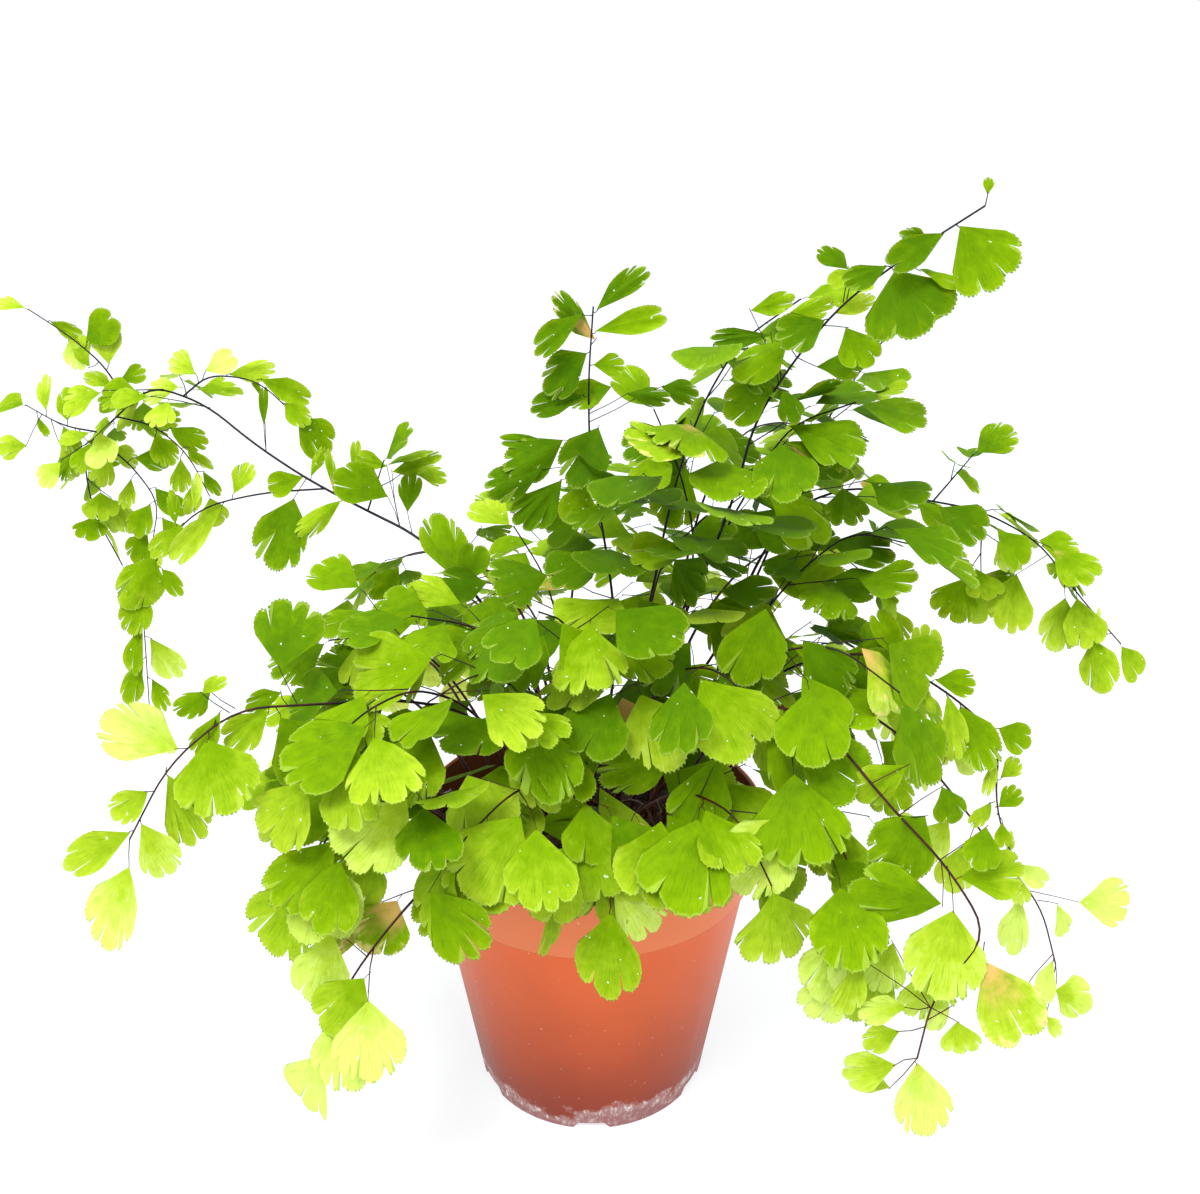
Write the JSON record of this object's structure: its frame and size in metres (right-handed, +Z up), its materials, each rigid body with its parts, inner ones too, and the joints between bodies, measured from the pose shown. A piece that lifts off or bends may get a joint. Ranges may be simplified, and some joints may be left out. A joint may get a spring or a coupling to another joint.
{
  "type": "potted maidenhair fern",
  "caption": "Leafy maidenhair fern with thin dark arching stems and fan-shaped leaflets, growing from a creeping rhizome in a round plastic nursery pot",
  "frame": {"origin": "on the ground under the middle of the pot, at the centre of its foot", "axes": "+Z up; -Y is the front of the plant; +X is to the right of someone who looks at the front"},
  "size_m": [0.4277, 0.258, 0.3138],
  "materials": {
    "pot_plastic": "terracotta orange moulded plastic, satin",
    "potting_soil": "dark crumbly potting soil, matt",
    "rhizome_bark": "brown scaly rhizome, matt",
    "fern_green": "thin bright green leaflets on dark wiry stems"
  },
  "bodies": {
    "root": {"pot": "pot_plastic", "soil": "potting_soil", "rhizome": "rhizome_bark", "frond_left_arch": "fern_green", "frond_lower_left": "fern_green", "frond_front_left": "fern_green", "frond_tall_right": "fern_green", "frond_upright": "fern_green", "frond_right_trail": "fern_green", "frond_lower_right": "fern_green", "frond_far_right": "fern_green", "frond_right_mid": "fern_green", "frond_right_back": "fern_green", "frond_top_middle": "fern_green", "frond_centre_back": "fern_green", "frond_middle_right": "fern_green", "frond_right_shoulder": "fern_green", "frond_right_blades": "fern_green", "frond_front_hang": "fern_green", "frond_left_mid": "fern_green", "frond_left_low": "fern_green", "frond_left_inner": "fern_green", "frond_back_left_top": "fern_green", "frond_centre_left": "fern_green", "frond_far_back": "fern_green", "frond_front_left_blades": "fern_green", "frond_front_right_low": "fern_green", "frond_front_top": "fern_green", "frond_front_right_mid": "fern_green", "frond_right_low": "fern_green", "frond_front_mid_left": "fern_green", "frond_centre_mid": "fern_green", "frond_front_small": "fern_green", "frond_front_right_small": "fern_green", "frond_left_side": "fern_green", "frond_back_right_low": "fern_green", "frond_back_left_low": "fern_green", "frond_back_middle": "fern_green", "frond_back_right": "fern_green", "frond_back_left": "fern_green", "frond_right_side": "fern_green", "frond_left_side_back": "fern_green", "frond_back_shoulder": "fern_green", "frond_left_shoulder": "fern_green", "frond_left_back_low": "fern_green"}
  },
  "joints": []
}
